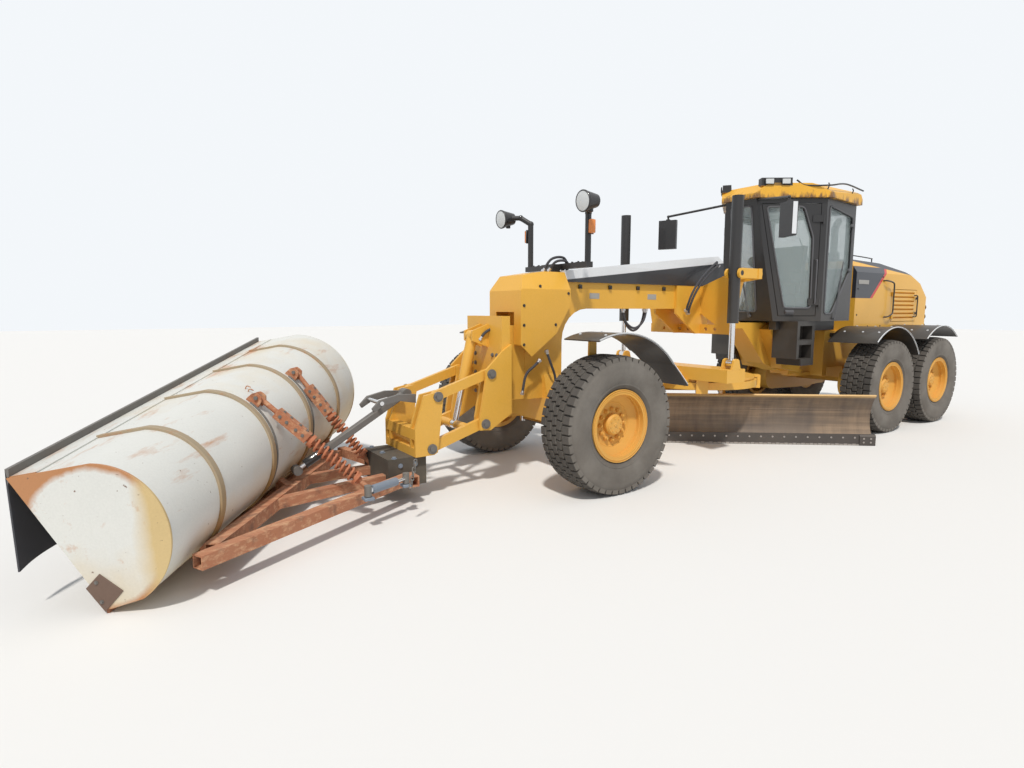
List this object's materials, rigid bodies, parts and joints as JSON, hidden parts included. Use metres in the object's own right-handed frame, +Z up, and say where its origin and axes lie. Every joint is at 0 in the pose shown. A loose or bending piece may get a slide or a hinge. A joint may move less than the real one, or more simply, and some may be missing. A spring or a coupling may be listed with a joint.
{
  "type": "motor grader",
  "caption": "Articulated motor grader with a turning circle and blade under its frame, a glazed cab, a rear engine and an angled one-way snow plow on a front lift.",
  "frame": {"origin": "on the ground, under the middle of the machine's bounding box", "axes": "+X is the machine's forward direction, +Y its left side and +Z up"},
  "size_m": [12.684, 3.7317, 3.535],
  "materials": {
    "yellow_paint": "satin",
    "black_paint": "satin",
    "rusty_paint": "matt",
    "plow_paint": "matt",
    "steel": "satin",
    "worn_steel": "matt",
    "iron": "matt",
    "tyre": "matt",
    "glass": "gloss",
    "trim": "matt",
    "rubber": "matt"
  },
  "bodies": {
    "front_frame": {"main_frame": "yellow_paint", "lift_saddle": "yellow_paint", "frame_hood": "black_paint", "nose_shroud": "yellow_paint", "hitch_base": "yellow_paint", "lamps_mirrors": "black_paint", "hoses": "rubber", "front_axle": "yellow_paint", "cab_shell": "black_paint", "cab_roof": "yellow_paint", "cab_glass": "glass", "cab_interior": "trim", "cab_base": "black_paint"},
    "rear_machine": {"rear_frame": "yellow_paint", "engine_hood": "yellow_paint", "engine_block": "iron", "exhaust": "black_paint", "rear_grille": "black_paint", "tandem_axle": "yellow_paint", "rear_fenders": "black_paint"},
    "steer_left": {"knuckle_left": "yellow_paint", "fender_left": "black_paint"},
    "steer_right": {"knuckle_right": "yellow_paint", "fender_right": "black_paint"},
    "tie_rod": {"tie_rod": "steel"},
    "wheel_front_left": {"tyre_front_left": "tyre", "rim_front_left": "yellow_paint"},
    "wheel_front_right": {"tyre_front_right": "tyre", "rim_front_right": "yellow_paint"},
    "wheel_mid_left": {"tyre_mid_left": "tyre", "rim_mid_left": "yellow_paint"},
    "wheel_mid_right": {"tyre_mid_right": "tyre", "rim_mid_right": "yellow_paint"},
    "wheel_rear_left": {"tyre_rear_left": "tyre", "rim_rear_left": "yellow_paint"},
    "wheel_rear_right": {"tyre_rear_right": "tyre", "rim_rear_right": "yellow_paint"},
    "engine_door_left": {"engine_door_left": "yellow_paint"},
    "engine_door_right": {"engine_door_right": "yellow_paint"},
    "drawbar": {"drawbar": "yellow_paint"},
    "circle": {"circle": "yellow_paint"},
    "blade_carrier": {"blade_carrier": "yellow_paint"},
    "blade": {"moldboard": "yellow_paint", "cutting_edge": "worn_steel"},
    "lift_barrels": {"lift_barrels": "black_paint"},
    "lift_rods": {"lift_rods": "steel"},
    "door_left": {"door_left": "black_paint", "door_glass_left": "glass"},
    "door_right": {"door_right": "black_paint", "door_glass_right": "glass"},
    "plow_lower_arms": {"plow_lower_arms": "yellow_paint"},
    "plow_upper_arms": {"plow_upper_arms": "yellow_paint"},
    "plow": {"plow_coupler": "yellow_paint", "push_frame": "rusty_paint", "plow_shell": "plow_paint", "plow_frame": "rusty_paint", "plow_flap": "rubber", "trip_springs": "rusty_paint"},
    "plow_barrel": {"plow_barrel": "yellow_paint"},
    "plow_rod": {"plow_rod": "steel"}
  },
  "joints": [
    {"name": "articulate", "type": "hinge", "parent": "front_frame", "child": "rear_machine", "pos_m": [-3.09, 0.29, 1.04], "axis": [0, 0, 1], "range_deg": [-20, 20]},
    {"name": "steer_left", "type": "hinge", "parent": "front_frame", "child": "steer_left", "pos_m": [1.79, 1.04, 0.675], "axis": [0, 0, 1], "range_deg": [-45, 45]},
    {"name": "steer_right", "type": "hinge", "parent": "front_frame", "child": "steer_right", "pos_m": [1.79, -0.46, 0.675], "axis": [0, 0, 1], "range_deg": [-45, 45]},
    {"name": "tie_rod_turn", "type": "hinge", "parent": "steer_left", "child": "tie_rod", "pos_m": [1.53, 1.04, 0.5], "axis": [0, 0, 1], "range_deg": [-45, 45]},
    {"name": "roll_front_left", "type": "hinge", "parent": "steer_left", "child": "wheel_front_left", "pos_m": [1.79, 1.36, 0.675], "axis": [0, 1, 0], "continuous": true},
    {"name": "roll_front_right", "type": "hinge", "parent": "steer_right", "child": "wheel_front_right", "pos_m": [1.79, -0.78, 0.675], "axis": [0, 1, 0], "continuous": true},
    {"name": "roll_mid_left", "type": "hinge", "parent": "rear_machine", "child": "wheel_mid_left", "pos_m": [-3.5715, 1.36, 0.675], "axis": [0, 1, 0], "continuous": true},
    {"name": "roll_mid_right", "type": "hinge", "parent": "rear_machine", "child": "wheel_mid_right", "pos_m": [-3.5715, -0.78, 0.675], "axis": [0, 1, 0], "continuous": true},
    {"name": "roll_rear_left", "type": "hinge", "parent": "rear_machine", "child": "wheel_rear_left", "pos_m": [-5.0945, 1.36, 0.675], "axis": [0, 1, 0], "continuous": true},
    {"name": "roll_rear_right", "type": "hinge", "parent": "rear_machine", "child": "wheel_rear_right", "pos_m": [-5.0945, -0.78, 0.675], "axis": [0, 1, 0], "continuous": true},
    {"name": "engine_door_left", "type": "hinge", "parent": "rear_machine", "child": "engine_door_left", "pos_m": [-4.944, 0.864, 1.85], "axis": [0, 0, -1], "range_deg": [0, 110]},
    {"name": "engine_door_right", "type": "hinge", "parent": "rear_machine", "child": "engine_door_right", "pos_m": [-4.944, -0.284, 1.85], "axis": [0, 0, 1], "range_deg": [0, 110]},
    {"name": "blade_lift", "type": "hinge", "parent": "front_frame", "child": "drawbar", "pos_m": [1.46, 0.29, 0.925], "axis": [0, 1, 0], "range_deg": [-16, 11]},
    {"name": "circle_turn", "type": "hinge", "parent": "drawbar", "child": "circle", "pos_m": [-0.81, 0.29, 0.835], "axis": [0, 0, 1], "continuous": true},
    {"name": "blade_tip", "type": "hinge", "parent": "circle", "child": "blade_carrier", "pos_m": [-0.84694, 0.24272, 0.23], "axis": [-0.788, 0.6157, 0], "range_deg": [-5, 40]},
    {"name": "blade_shift", "type": "slide", "parent": "blade_carrier", "child": "blade", "axis": [-0.788, 0.6157, 0], "range_m": [-0.75, 0.1]},
    {"name": "lift_barrels", "type": "hinge", "parent": "front_frame", "child": "lift_barrels", "pos_m": [-0.33, 0.29, 2.2], "axis": [0, 1, 0], "range_deg": [-4, 4]},
    {"name": "lift_rods", "type": "slide", "parent": "lift_barrels", "child": "lift_rods", "axis": [0, 0, 1], "range_m": [-0.56, 0.4]},
    {"name": "door_left", "type": "hinge", "parent": "front_frame", "child": "door_left", "pos_m": [-2.35949, 1.07583, 2.4], "axis": [0, 0, 1], "range_deg": [0, 100]},
    {"name": "door_right", "type": "hinge", "parent": "front_frame", "child": "door_right", "pos_m": [-2.35949, -0.49583, 2.4], "axis": [0, 0, -1], "range_deg": [0, 100]},
    {"name": "plow_lift", "type": "hinge", "parent": "front_frame", "child": "plow_lower_arms", "pos_m": [2.76, 0.29, 0.66], "axis": [0, -1, 0], "range_deg": [0, 45]},
    {"name": "plow_upper", "type": "hinge", "parent": "front_frame", "child": "plow_upper_arms", "pos_m": [2.69, 0.29, 1.15], "axis": [0, -1, 0], "range_deg": [0, 45]},
    {"name": "plow_level", "type": "hinge", "parent": "plow_lower_arms", "child": "plow", "pos_m": [3.34, 0.29, 0.48], "axis": [0, -1, 0], "range_deg": [-45, 0]},
    {"name": "plow_cylinder", "type": "hinge", "parent": "front_frame", "child": "plow_barrel", "pos_m": [2.69, 0.29, 1.515], "axis": [0, -1, 0], "range_deg": [-1, 3]},
    {"name": "plow_rod", "type": "slide", "parent": "plow_barrel", "child": "plow_rod", "axis": [-0.2324, 0, 0.9726], "range_m": [0, 0.14]}
  ],
  "couplings": [
    {"joint": "steer_right", "follows": "steer_left", "ratio": 1},
    {"joint": "tie_rod_turn", "follows": "steer_left", "ratio": -1},
    {"joint": "lift_barrels", "follows": "blade_lift", "ratio": -0.105},
    {"joint": "lift_rods", "follows": "blade_lift", "m_per_rad": 1.77},
    {"joint": "plow_upper", "follows": "plow_lift", "ratio": 1},
    {"joint": "plow_level", "follows": "plow_lift", "ratio": -1},
    {"joint": "plow_cylinder", "follows": "plow_lift", "ratio": 0.04},
    {"joint": "plow_rod", "follows": "plow_lift", "m_per_rad": 0.146}
  ]
}
